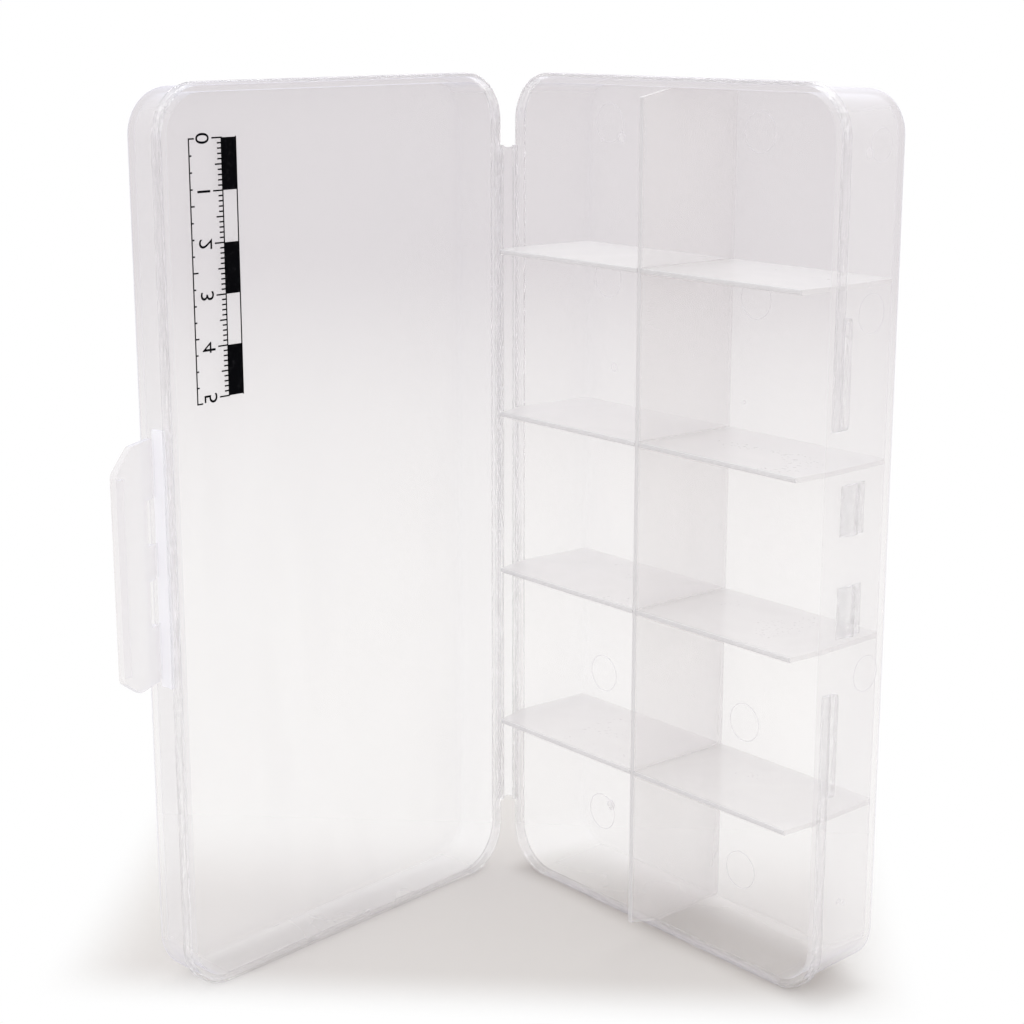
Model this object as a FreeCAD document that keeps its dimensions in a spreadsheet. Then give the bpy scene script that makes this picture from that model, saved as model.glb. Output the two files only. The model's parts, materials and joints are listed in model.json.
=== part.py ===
"""Hinged fly box of clear polypropylene, standing open on its end.

The row frame has Z along the box's length, X along its width and Y into the
depth of the base. The origin is the middle of the base rim's lower end, which
is what the open box stands on. The base opens towards -Y. The lid hangs on a
living hinge whose axis is upright at the base's -X side, and the latch flap
hangs on a second living hinge at the lid's free side.

Each piece is drawn in a frame of its own kind and then placed:
  base pieces   X from the hinge side, rim face at Y 0, depth towards +Y
  lid pieces    as they lie when the lid is shut, depth towards -Y
  latch pieces  pivot at the origin, flap pointing to +Y as when it is shut
"""
import FreeCAD, Part
import math
import os

import Sketcher

SIZES = {
    # Overall
    "box_width": 91.5,
    "box_length": 178.0,
    "corner_round": 10.0,
    "base_depth": 19.8,
    "lid_depth": 11.4,
    # Walls of both halves
    "wall": 1.2,
    "lip_out": 0.7,
    "lip_high": 2.3,
    "lip_round": 0.3,
    "base_draft": 0.9,
    "lid_draft": 0.35,
    "outer_round": 2.0,
    "inner_round": 0.8,
    "rim_gap": 0.1,
    # Dividers
    "divider_thick": 1.0,
    "divider_rise": 7.5,
    "divider_round": 0.3,
    "centre_shift": 0.8,
    "row_pitch": 34.7,
    "tip_inset_hinge": 4.2,
    "tip_inset_latch": 2.45,
    "tip_inset_end": 3.6,
    "tip_step": 0.2,
    # Main living hinge
    "open_angle": 82.0,
    "hinge_reach": 2.1,
    "hinge_long": 147.6,
    "root_wide": 0.8,
    "root_thick": 1.0,
    "web_thick": 0.3,
    "web_back": 0.45,
    # Latch: gap and guards in the base rim, lugs on the base wall
    "rim_break": 51.4,
    "guard_long": 21.0,
    "guard_high": 4.2,
    "guard_round": 0.9,
    "lug_long": 10.0,
    "lug_apart": 20.0,
    "lug_start": 3.6,
    "lug_crest": 7.3,
    "lug_catch": 7.9,
    "lug_foot": 10.6,
    "foot_proud": 0.2,
    "crest_below": 0.05,
    # Latch: seat on the lid, living hinge and flap
    "seat_gap": 0.5,
    "seat_deep": 5.4,
    "pivot_back": 0.3,
    "pivot_out": 0.55,
    "latch_angle": 65.0,
    "flap_long": 15.0,
    "flap_short": 1.45,
    "flap_thick": 1.2,
    "flap_clear": 0.15,
    "flap_cut_long": 6.5,
    "flap_cut_wide": 4.0,
    "flap_round": 1.6,
    "window_near": 3.4,
    "window_far": 12.4,
    "window_deep": 2.6,
    "hook_proud": 0.9,
    "hook_clear": 0.15,
    "hook_land": 0.6,
    "hook_short": 1.0,
}

CROSS_ROWS = 4
MATCH_SHARE = 0.01
SIDES = ("hinge", "latch")
Z_AXIS = FreeCAD.Vector(0, 0, 1)

doc = FreeCAD.newDocument("fly_box")
sizes = doc.addObject("Spreadsheet::Sheet", "sizes")
for row, (alias, value) in enumerate(SIZES.items(), 1):
    sizes.set(f"A{row}", alias)
    sizes.set(f"B{row}", str(value))
    sizes.setAlias(f"B{row}", alias)
doc.recompute()

# Sizes worked out from the sheet, as expressions on its cells
MID_LENGTH = "sizes.box_length / 2"
FLOOR_TOP = "(sizes.base_depth - sizes.wall)"
CENTRE = "(sizes.box_width / 2 + sizes.centre_shift)"
CENTRE_LEFT = f"({CENTRE} - sizes.divider_thick / 2)"
CENTRE_RIGHT = f"({CENTRE} + sizes.divider_thick / 2)"
WEB_OUT = "(sizes.hinge_reach - sizes.root_wide)"
WEB_OFF = "(sizes.web_back + sizes.rim_gap)"
WEB_BEND = (
    f"(({WEB_OUT} + {WEB_OFF} / tan(sizes.open_angle * 1 deg / 2))"
    " / tan((180 - sizes.open_angle) * 1 deg / 2))"
)
SEAT_LONG = "(sizes.rim_break - 2 * sizes.seat_gap)"
FLAP_WIDE = f"({SEAT_LONG} - 2 * sizes.flap_short)"
LATCH_BEND = "(sizes.pivot_out / tan((90 - sizes.latch_angle) * 1 deg / 2))"
FLAP_INNER = "(sizes.flap_clear - sizes.pivot_out)"
PIVOT_DEEP = "(sizes.seat_deep - sizes.pivot_back)"
HOOK_START = f"(sizes.lug_catch + {PIVOT_DEEP} + 2 * sizes.rim_gap + sizes.hook_clear)"


def base_inset(depth):
    """Inset of the base wall's outer face from the rim's edge, at a depth."""
    return f"(sizes.lip_out + sizes.base_draft * {depth} / sizes.base_depth)"


def lid_inset(depth):
    """Inset of the lid wall's outer face from the rim's edge, at a depth."""
    return f"(sizes.lip_out + sizes.lid_draft * {depth} / sizes.lid_depth)"


def size(expression):
    """Value of an expression on the sheet's cells."""
    result = sizes.evalExpression(expression)
    return float(getattr(result, "Value", result))


def new_body(label):
    """Empty body whose label is the node's name."""
    body = doc.addObject("PartDesign::Body", label)
    body.Label = label
    return body


def new_sketch(body, name, role, offset=None):
    """Sketch on one of the body's own origin planes, moved along its normal."""
    sketch = body.newObject("Sketcher::SketchObject", f"{body.Name}_{name}")
    plane = next(f for f in body.Origin.OriginFeatures if f.Role == role)
    sketch.AttachmentSupport = [(plane, "")]
    sketch.MapMode = "FlatFace"
    if offset is not None:
        sketch.setExpression("AttachmentOffset.Base.z", offset)
    return sketch


def bind(sketch, kind, where, expression):
    """Add a size constraint and bind it to the sheet."""
    index = sketch.addConstraint(Sketcher.Constraint(kind, *where, size(expression)))
    sketch.setExpression(f"Constraints[{index}]", expression)


def polygon(body, name, role, points, offset=None):
    """Closed straight-sided outline through points given as expressions."""
    sketch = new_sketch(body, name, role, offset)
    corners = [FreeCAD.Vector(size(u), size(v), 0) for u, v in points]
    count = len(corners)
    for i in range(count):
        sketch.addGeometry(Part.LineSegment(corners[i], corners[(i + 1) % count]))
    for i in range(count):
        follower = (i + 1) % count
        sketch.addConstraint(Sketcher.Constraint("Coincident", i, 2, follower, 1))
    for i, (u, v) in enumerate(points):
        bind(sketch, "DistanceX", (-1, 1, i, 1), u)
        bind(sketch, "DistanceY", (-1, 1, i, 1), v)
    return sketch


def rectangle(body, name, role, low, high, offset=None):
    """Rectangle between two opposite corners given as expressions."""
    (u0, v0), (u1, v1) = low, high
    return polygon(body, name, role, [(u0, v0), (u1, v0), (u1, v1), (u0, v1)], offset)


def rounded_outline(body, name, inset, offset=None):
    """Rounded rectangle of the box's plan, inset all round, on the XZ plane."""
    sketch = new_sketch(body, name, "XZ_Plane", offset)
    radius = f"(sizes.corner_round - {inset})"
    low = "sizes.corner_round"
    high_u = "(sizes.box_width - sizes.corner_round)"
    high_v = "(sizes.box_length - sizes.corner_round)"
    centres = [(low, low), (high_u, low), (high_u, high_v), (low, high_v)]
    turn = size(radius)
    middles = [FreeCAD.Vector(size(u), size(v), 0) for u, v in centres]
    starts = [math.pi * (1 + i / 2) for i in range(4)]
    for middle, start in zip(middles, starts):
        circle = Part.Circle(middle, Z_AXIS, turn)
        sketch.addGeometry(Part.ArcOfCircle(circle, start, start + math.pi / 2))
    for i in range(4):
        leave = starts[i] + math.pi / 2
        out = FreeCAD.Vector(math.cos(leave), math.sin(leave), 0) * turn
        sketch.addGeometry(Part.LineSegment(middles[i] + out, middles[(i + 1) % 4] + out))
    for i in range(4):
        follower = (i + 1) % 4
        sketch.addConstraint(Sketcher.Constraint("Tangent", i, 2, 4 + i, 1))
        sketch.addConstraint(Sketcher.Constraint("Tangent", 4 + i, 2, follower, 1))
    for i in range(1, 4):
        sketch.addConstraint(Sketcher.Constraint("Equal", 0, i))
    bind(sketch, "Radius", (0,), radius)
    for i in (0, 2):
        bind(sketch, "DistanceX", (-1, 1, i, 3), centres[i][0])
        bind(sketch, "DistanceY", (-1, 1, i, 3), centres[i][1])
    for i, kind in enumerate(("Horizontal", "Vertical", "Horizontal", "Vertical")):
        sketch.addConstraint(Sketcher.Constraint(kind, 4 + i))
    return sketch


def pad(body, name, sketch, length, middle=False, back=False, taper=None):
    """Pad of a sketch along its normal, or to both sides, or backwards."""
    feature = body.newObject("PartDesign::Pad", f"{body.Name}_{name}")
    feature.Profile = sketch
    feature.setExpression("Length", length)
    feature.Midplane = middle
    feature.Reversed = back
    if taper is not None:
        feature.setExpression("TaperAngle", taper)
    doc.recompute()
    return feature


def pocket(body, name, sketch, length=None, back=False, taper=None):
    """Pocket of a sketch to a length, or right through the solid both ways."""
    before = body.Shape.Volume
    feature = body.newObject("PartDesign::Pocket", f"{body.Name}_{name}")
    feature.Profile = sketch
    if length is None:
        feature.Type = "ThroughAll"
        feature.Midplane = True
    else:
        feature.setExpression("Length", length)
        feature.Reversed = back
    if taper is not None:
        feature.setExpression("TaperAngle", taper)
    doc.recompute()
    if body.Shape.Volume >= before:
        raise RuntimeError(f"{feature.Name} cuts nothing")
    return feature


def fillet(body, name, radius, wanted):
    """Fillet on every edge whose two end points together pass a test."""
    tip = body.Tip
    names = []
    for number, edge in enumerate(tip.Shape.Edges, 1):
        ends = [edge.valueAt(edge.FirstParameter), edge.valueAt(edge.LastParameter)]
        if wanted(*ends):
            names.append(f"Edge{number}")
    feature = body.newObject("PartDesign::Fillet", f"{body.Name}_{name}")
    feature.Base = (tip, names)
    feature.setExpression("Radius", radius)
    doc.recompute()
    return feature


def near(value, target):
    """True where two lengths are the same within the modelling tolerance."""
    return abs(value - target) < size("sizes.web_thick") * MATCH_SHARE


def both(value, first, second):
    """True where both lengths are the same as a value."""
    return near(first, value) and near(second, value)


def shell(label, depth, draft, to_base):
    """Open tray: drafted walls with rounded corners, and a flat floor."""
    body = new_body(label)
    inner_depth = f"({depth} - sizes.wall)"
    taper = f"-atan({draft} / {depth})"
    way = 1 if to_base else -1
    outer = rounded_outline(body, "outer_outline", "sizes.lip_out")
    pad(body, "block", outer, depth, back=to_base, taper=taper)
    floor_y = size(depth) * way
    fillet(body, "outer_round", "sizes.outer_round", lambda a, b: both(floor_y, a.y, b.y))
    inner = rounded_outline(body, "inner_outline", "(sizes.lip_out + sizes.wall)")
    pocket(body, "hollow", inner, inner_depth, back=not to_base, taper=taper)
    bed_y = size(inner_depth) * way
    fillet(body, "inner_round", "sizes.inner_round", lambda a, b: both(bed_y, a.y, b.y))
    return body


def rim(label, depth, draft, to_base):
    """Flange round the mouth of a half, outside its wall."""
    body = new_body(label)
    outline = rounded_outline(body, "flange_outline", "0")
    pad(body, "flange", outline, "sizes.lip_high", back=to_base)
    wall_face = rounded_outline(body, "wall_outline", "sizes.lip_out")
    taper = f"-atan({draft} / {depth})"
    pocket(body, "mouth", wall_face, "sizes.lip_high", back=not to_base, taper=taper)
    return body


def round_rim(body):
    """Small rounding along the flange's outer edges."""
    wide = size("sizes.box_width")
    long = size("sizes.box_length")
    turn = size("sizes.corner_round")

    def on_edge(end):
        over_x = max(turn - end.x, end.x - (wide - turn), 0)
        over_z = max(turn - end.z, end.z - (long - turn), 0)
        return near(math.hypot(over_x, over_z), turn)

    def outside(a, b):
        return on_edge(a) and on_edge(b) and near(a.y, b.y)

    fillet(body, "edge_round", "sizes.lip_round", outside)


def cross_profile(side):
    """Outline of one half of a cross divider, in plan."""
    if side == "hinge":
        return [
            (f"({base_inset(FLOOR_TOP)} + sizes.wall)", FLOOR_TOP),
            ("(sizes.lip_out + sizes.wall)", "0"),
            ("(sizes.lip_out + sizes.wall + sizes.tip_step)", "0"),
            ("sizes.tip_inset_hinge", "-sizes.divider_rise"),
            (CENTRE_LEFT, "-sizes.divider_rise"),
            (CENTRE_LEFT, FLOOR_TOP),
        ]
    return [
        (f"(sizes.box_width - {base_inset(FLOOR_TOP)} - sizes.wall)", FLOOR_TOP),
        ("(sizes.box_width - sizes.lip_out - sizes.wall)", "0"),
        ("(sizes.box_width - sizes.lip_out - sizes.wall - sizes.tip_step)", "0"),
        ("(sizes.box_width - sizes.tip_inset_latch)", "-sizes.divider_rise"),
        (CENTRE_RIGHT, "-sizes.divider_rise"),
        (CENTRE_RIGHT, FLOOR_TOP),
    ]


def round_divider(body, joined):
    """Match the tray's inner rounding at the foot and soften the free edge."""
    floor_y = size(FLOOR_TOP)
    rise = size("sizes.divider_rise")
    thick = size("sizes.divider_thick")

    def foot_corner(a, b):
        return both(floor_y, a.y, b.y) and near((a - b).Length, thick) and not joined(a, b)

    def free_edge(a, b):
        return both(-rise, a.y, b.y) and not joined(a, b)

    fillet(body, "foot_round", "sizes.inner_round", foot_corner)
    fillet(body, "edge_round", "sizes.divider_round", free_edge)


def cross_divider(row, side):
    """One half of a cross divider, between a side wall and the centre divider."""
    body = new_body(f"cross_divider_{row}_{side}_side")
    place = f"({MID_LENGTH} + (({CROSS_ROWS} + 1) / 2 - {row}) * sizes.row_pitch)"
    outline = polygon(body, "profile", "XY_Plane", cross_profile(side), place)
    pad(body, "plate", outline, "sizes.divider_thick", middle=True)
    join = size(CENTRE_LEFT if side == "hinge" else CENTRE_RIGHT)
    round_divider(body, lambda a, b: both(join, a.x, b.x))
    return body


def centre_divider():
    """The long wall between the two columns of compartments."""
    body = new_body("centre_divider")
    foot = f"({base_inset(FLOOR_TOP)} + sizes.wall)"
    outline = polygon(
        body,
        "profile",
        "YZ_Plane",
        [
            (FLOOR_TOP, foot),
            ("0", "(sizes.lip_out + sizes.wall)"),
            ("0", "(sizes.lip_out + sizes.wall + sizes.tip_step)"),
            ("-sizes.divider_rise", "sizes.tip_inset_end"),
            ("-sizes.divider_rise", "(sizes.box_length - sizes.tip_inset_end)"),
            ("0", "(sizes.box_length - sizes.lip_out - sizes.wall - sizes.tip_step)"),
            ("0", "(sizes.box_length - sizes.lip_out - sizes.wall)"),
            (FLOOR_TOP, f"(sizes.box_length - {foot})"),
        ],
        CENTRE,
    )
    pad(body, "plate", outline, "sizes.divider_thick", middle=True)
    round_divider(body, lambda a, b: False)
    return body


def base_wall_x(depth):
    """Outer face of the base's latch-side wall, at a depth."""
    return f"(sizes.box_width - {base_inset(depth)})"


def lid_wall_x(depth):
    """Outer face of the lid's latch-side wall, at a depth."""
    return f"(sizes.box_width - {lid_inset(depth)})"


def latch_guard(label, way):
    """Deeper length of the rim beside the latch, which keeps it from snagging."""
    body = new_body(label)
    middle = f"({MID_LENGTH} {way} (sizes.rim_break + sizes.guard_long) / 2)"
    outline = polygon(
        body,
        "section",
        "XY_Plane",
        [
            ("sizes.box_width", "sizes.lip_high"),
            ("sizes.box_width", "sizes.guard_high"),
            (base_wall_x("sizes.guard_high"), "sizes.guard_high"),
            (base_wall_x("sizes.lip_high"), "sizes.lip_high"),
        ],
        middle,
    )
    pad(body, "block", outline, "sizes.guard_long", middle=True)
    top = size("sizes.guard_high")
    fillet(
        body,
        "end_round",
        "sizes.guard_round",
        lambda a, b: both(top, a.y, b.y) and near(a.z, b.z),
    )
    return body


def catch_lug(label, way):
    """Wedge on the base wall: ramp, crest, catch face and a low foot."""
    body = new_body(label)
    crest = "(sizes.box_width - sizes.crest_below)"
    outline = polygon(
        body,
        "section",
        "XY_Plane",
        [
            (base_wall_x("sizes.lug_start"), "sizes.lug_start"),
            (crest, "sizes.lug_crest"),
            (crest, "sizes.lug_catch"),
            (f"({base_wall_x('sizes.lug_catch')} + sizes.foot_proud)", "sizes.lug_catch"),
            (f"({base_wall_x('sizes.lug_foot')} + sizes.foot_proud)", "sizes.lug_foot"),
            (base_wall_x("sizes.lug_foot"), "sizes.lug_foot"),
        ],
        f"({MID_LENGTH} {way} sizes.lug_apart / 2)",
    )
    pad(body, "wedge", outline, "sizes.lug_long", middle=True)
    return body


def latch_seat():
    """Thickened length of the lid's rim that carries the latch."""
    body = new_body("latch_seat")
    outline = polygon(
        body,
        "section",
        "XY_Plane",
        [
            ("sizes.box_width", "-sizes.lip_high"),
            (lid_wall_x("sizes.lip_high"), "-sizes.lip_high"),
            (lid_wall_x("sizes.seat_deep"), "-sizes.seat_deep"),
            ("sizes.box_width", "-sizes.seat_deep"),
        ],
        MID_LENGTH,
    )
    pad(body, "block", outline, SEAT_LONG, middle=True)
    return body


def hinge_root(label, way):
    """Bead along the rim that the thin web of the main hinge grows from."""
    body = new_body(label)
    outline = rectangle(
        body,
        "section",
        "XY_Plane",
        ("-sizes.root_wide", "0"),
        ("0", f"{way}sizes.root_thick"),
        MID_LENGTH,
    )
    pad(body, "bead", outline, "sizes.hinge_long", middle=True)
    return body


def bent_web(label, bend, turn, low, high):
    """Thin web bent about Z, starting at +X of its own frame."""
    body = new_body(label)
    outline = rectangle(
        body,
        "section",
        "XZ_Plane",
        (f"({bend} - sizes.web_thick / 2)", low),
        (f"({bend} + sizes.web_thick / 2)", high),
    )
    feature = body.newObject("PartDesign::Revolution", f"{label}_bend")
    feature.Profile = outline
    feature.ReferenceAxis = (outline, ["V_Axis"])
    feature.setExpression("Angle", turn)
    doc.recompute()
    return body


def latch_flap():
    """Flap with cut outer corners and two windows along its hinge."""
    body = new_body("latch_flap")
    half = f"{FLAP_WIDE} / 2"
    shoulder = "(sizes.flap_long - sizes.flap_cut_long)"
    inner = f"({half} - sizes.flap_cut_wide)"
    outline = polygon(
        body,
        "outline",
        "YZ_Plane",
        [
            ("sizes.pivot_out", f"-{half}"),
            (shoulder, f"-{half}"),
            ("sizes.flap_long", f"-{inner}"),
            ("sizes.flap_long", inner),
            (shoulder, half),
            ("sizes.pivot_out", half),
        ],
        FLAP_INNER,
    )
    pad(body, "plate", outline, "sizes.flap_thick")
    for way, name in (("", "upper"), ("-", "lower")):
        window = rectangle(
            body,
            f"{name}_window",
            "YZ_Plane",
            ("0", f"{way}sizes.window_near"),
            ("(sizes.pivot_out + sizes.window_deep)", f"{way}sizes.window_far"),
        )
        pocket(body, f"{name}_opening", window)
    thick = size("sizes.flap_thick")
    start = size(f"({shoulder} - sizes.flap_thick)")
    fillet(
        body,
        "corner_round",
        "sizes.flap_round",
        lambda a, b: near(abs(a.x - b.x), thick) and a.y > start,
    )
    return body


def latch_hook():
    """Bar along the flap's free edge that catches behind the lugs."""
    body = new_body("latch_hook")
    deep = f"({FLAP_INNER} - sizes.hook_proud)"
    outline = polygon(
        body,
        "section",
        "XY_Plane",
        [
            (FLAP_INNER, HOOK_START),
            (FLAP_INNER, "sizes.flap_long"),
            (deep, f"({HOOK_START} + sizes.hook_land)"),
            (deep, HOOK_START),
        ],
    )
    long = f"({FLAP_WIDE} - 2 * sizes.flap_cut_wide - 2 * sizes.hook_short)"
    pad(body, "bar", outline, long, middle=True)
    return body


def turned(degrees):
    """Rotation about the upright axis."""
    return FreeCAD.Rotation(Z_AXIS, degrees)


def place(bodies, placement):
    """Set the same placement on several bodies."""
    for body in bodies:
        body.Placement = placement


def at(x, y, z):
    """Vector whose coordinates are expressions on the sheet's cells."""
    return FreeCAD.Vector(size(x), size(y), size(z))


# Base
base_tray = shell("base_tray", "sizes.base_depth", "sizes.base_draft", True)
base_rim = rim("base_rim", "sizes.base_depth", "sizes.base_draft", True)
gap = rectangle(
    base_rim,
    "gap_outline",
    "XZ_Plane",
    ("(sizes.box_width - sizes.corner_round)", f"({MID_LENGTH} - sizes.rim_break / 2)"),
    ("(sizes.box_width + sizes.lip_out)", f"({MID_LENGTH} + sizes.rim_break / 2)"),
)
pocket(base_rim, "gap", gap)
round_rim(base_rim)
base = [
    base_tray,
    base_rim,
    latch_guard("latch_guard_upper", "+"),
    latch_guard("latch_guard_lower", "-"),
    centre_divider(),
    catch_lug("catch_lug_upper", "+"),
    catch_lug("catch_lug_lower", "-"),
    hinge_root("base_hinge_root", ""),
]
base += [cross_divider(row, side) for row in range(1, CROSS_ROWS + 1) for side in SIDES]

# Lid, drawn as it lies when shut
lid_shell = shell("lid_shell", "sizes.lid_depth", "sizes.lid_draft", False)
lid_rim = rim("lid_rim", "sizes.lid_depth", "sizes.lid_draft", False)
round_rim(lid_rim)
lid = [lid_shell, lid_rim, latch_seat(), hinge_root("lid_hinge_root", "-")]

# Webs of the two living hinges
hinge_web = bent_web(
    "hinge_web",
    WEB_BEND,
    "180 - sizes.open_angle",
    f"({MID_LENGTH} - sizes.hinge_long / 2)",
    f"({MID_LENGTH} + sizes.hinge_long / 2)",
)
WEB_SPANS = {
    "latch_web_upper": ("sizes.window_far", f"{FLAP_WIDE} / 2"),
    "latch_web_middle": ("-sizes.window_near", "sizes.window_near"),
    "latch_web_lower": (f"-{FLAP_WIDE} / 2", "-sizes.window_far"),
}
latch_webs = [
    bent_web(name, LATCH_BEND, "90 - sizes.latch_angle", low, high)
    for name, (low, high) in WEB_SPANS.items()
]

# Latch, drawn as it lies when shut
latch = [latch_flap(), latch_hook()]

# Places: the base, then the lid about the hinge axis, then the latch on the lid
base_place = FreeCAD.Placement(
    at("-sizes.box_width / 2", "-sizes.lip_high / 2", "0"), turned(0)
)
hinge_axis = FreeCAD.Placement(
    at("-sizes.box_width / 2 - sizes.hinge_reach", "-sizes.lip_high / 2 - sizes.rim_gap", "0"),
    turned(0),
)
lid_turn = FreeCAD.Placement(FreeCAD.Vector(), turned(-size("sizes.open_angle")))
lid_place = hinge_axis * lid_turn * FreeCAD.Placement(
    at("sizes.hinge_reach", "-sizes.rim_gap", "0"), turned(0)
)
web_place = hinge_axis * FreeCAD.Placement(
    at(WEB_OUT, f"{WEB_OFF} - {WEB_BEND}", "0"), turned(90)
)
latch_axis = lid_place * FreeCAD.Placement(
    at("sizes.box_width + sizes.pivot_out", f"-{PIVOT_DEEP}", MID_LENGTH), turned(0)
)
latch_place = latch_axis * FreeCAD.Placement(
    FreeCAD.Vector(), turned(-size("sizes.latch_angle"))
)
latch_web_place = latch_axis * FreeCAD.Placement(
    at("-sizes.pivot_out", LATCH_BEND, "0"), turned(-90)
)
place(base, base_place)
place(lid, lid_place)
place([hinge_web], web_place)
place(latch, latch_place)
place(latch_webs, latch_web_place)
doc.recompute()

# Check every object before anything is written
pieces = base + lid + [hinge_web] + latch + latch_webs
for item in doc.Objects:
    if "Invalid" in item.State or "Error" in item.State:
        raise RuntimeError(f"{item.Name} failed: {item.State}")
for piece in pieces:
    if piece.Shape.isNull() or not piece.Shape.isValid() or piece.Shape.Volume <= 0:
        raise RuntimeError(f"{piece.Label} has no valid shape")

os.makedirs("parts", exist_ok=True)
for piece in pieces:
    piece.Shape.exportStep(f"parts/{piece.Label}.step")
for name, spot in (("lid hinge axis", hinge_axis), ("latch hinge axis", latch_axis)):
    print(name, [round(part, 4) for part in spot.Base])
print(len(pieces), "pieces written")
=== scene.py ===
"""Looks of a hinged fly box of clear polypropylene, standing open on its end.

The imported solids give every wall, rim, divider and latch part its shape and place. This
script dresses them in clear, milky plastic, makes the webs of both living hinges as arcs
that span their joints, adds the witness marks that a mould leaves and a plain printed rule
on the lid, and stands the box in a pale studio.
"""

import json
import logging
import math
from dataclasses import dataclass
from enum import Enum
from typing import Any, Iterable, Optional, Sequence, Union

import bmesh
import bpy
from mathutils import Matrix, Vector


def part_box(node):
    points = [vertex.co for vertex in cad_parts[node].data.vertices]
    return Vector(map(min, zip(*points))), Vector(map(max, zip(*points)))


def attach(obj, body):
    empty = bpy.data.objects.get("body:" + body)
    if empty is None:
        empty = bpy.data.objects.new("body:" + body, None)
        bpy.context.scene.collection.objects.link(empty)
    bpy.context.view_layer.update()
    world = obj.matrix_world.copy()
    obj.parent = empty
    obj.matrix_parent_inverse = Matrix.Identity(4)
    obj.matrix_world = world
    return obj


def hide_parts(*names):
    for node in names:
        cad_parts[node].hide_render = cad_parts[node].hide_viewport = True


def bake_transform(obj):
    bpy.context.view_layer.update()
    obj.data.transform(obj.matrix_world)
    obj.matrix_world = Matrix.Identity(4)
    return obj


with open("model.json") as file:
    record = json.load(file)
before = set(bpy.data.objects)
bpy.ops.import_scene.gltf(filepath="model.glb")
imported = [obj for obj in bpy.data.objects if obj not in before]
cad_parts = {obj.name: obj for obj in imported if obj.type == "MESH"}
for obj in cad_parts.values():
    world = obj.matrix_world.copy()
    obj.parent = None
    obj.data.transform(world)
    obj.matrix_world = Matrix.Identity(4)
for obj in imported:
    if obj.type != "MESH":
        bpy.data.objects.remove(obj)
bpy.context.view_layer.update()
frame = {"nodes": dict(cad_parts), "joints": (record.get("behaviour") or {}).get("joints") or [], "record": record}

LOG = logging.getLogger("fly_box")
MM = 0.001
WHITE = (1.0, 1.0, 1.0)

Colour = tuple[float, float, float]
Span = tuple[float, float]


class Body(Enum):
    """The three rigid bodies of the box."""

    BASE = "base"
    LID = "lid"
    LATCH = "latch"


class Slot(Enum):
    """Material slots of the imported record."""

    BASE = "base_plastic"
    DIVIDER = "divider_plastic"
    LID = "lid_plastic"
    LATCH = "latch_plastic"
    WEB = "web_plastic"


# Node trees and shader maths


class Signal:
    """A number socket of a shader, on which arithmetic adds Math nodes."""

    def __init__(self, shader: "Shader", socket: bpy.types.NodeSocket) -> None:
        """Wrap one output socket of a shader's node."""
        self.shader = shader
        self.socket = socket

    def _math(self, operation: str, first: Any, second: Any) -> "Signal":
        """Add a Math node.

        Args:
            operation: The node's operation.
            first: Number or signal for the first input.
            second: Number or signal for the second input.

        Returns:
            The node's result.
        """
        node = self.shader.node(
            "ShaderNodeMath", {"operation": operation}, {0: first, 1: second}
        )
        return Signal(self.shader, node.outputs[0])

    def __add__(self, other: Any) -> "Signal":
        """Sum with a number or signal."""
        return self._math("ADD", self, other)

    def __sub__(self, other: Any) -> "Signal":
        """Difference from a number or signal."""
        return self._math("SUBTRACT", self, other)

    def __rsub__(self, other: Any) -> "Signal":
        """Reflected difference."""
        return self._math("SUBTRACT", other, self)

    def __mul__(self, other: Any) -> "Signal":
        """Product with a number or signal."""
        return self._math("MULTIPLY", self, other)

    __radd__ = __add__
    __rmul__ = __mul__

    def smooth(self, low: float, high: float) -> "Signal":
        """Rise smoothly from 0 to 1 between two values.

        Args:
            low: Value at which the result is 0.
            high: Value at which the result is 1.

        Returns:
            The eased signal.
        """
        node = self.shader.node(
            "ShaderNodeMapRange",
            {"interpolation_type": "SMOOTHSTEP"},
            {"Value": self, "From Min": low, "From Max": high},
        )
        return Signal(self.shader, node.outputs["Result"])


class Tree:
    """A node tree under construction."""

    def __init__(self, tree: bpy.types.NodeTree) -> None:
        """Start on a tree without nodes."""
        self.tree = tree
        tree.nodes.clear()

    def node(
        self,
        kind: str,
        settings: Optional[dict[str, Any]] = None,
        inputs: Optional[dict[Union[str, int], Any]] = None,
    ) -> bpy.types.Node:
        """Add one node.

        Args:
            kind: The node's type.
            settings: Properties of the node, set first.
            inputs: Values, signals or sockets for its input sockets, by name or number.

        Returns:
            The new node.
        """
        made = self.tree.nodes.new(kind)
        for name, value in (settings or {}).items():
            setattr(made, name, value)
        for key, value in (inputs or {}).items():
            self.feed(made.inputs[key], value)
        return made

    def feed(self, socket: bpy.types.NodeSocket, value: Any) -> None:
        """Link a signal or socket to an input, or set the input's own value.

        Args:
            socket: The input socket.
            value: Signal, output socket, number, vector or colour.
        """
        if isinstance(value, Signal):
            self.tree.links.new(value.socket, socket)
        elif isinstance(value, bpy.types.NodeSocket):
            self.tree.links.new(value, socket)
        elif isinstance(value, tuple) and len(value) == 3 and socket.type == "RGBA":
            socket.default_value = (*value, 1.0)
        else:
            socket.default_value = value


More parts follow.
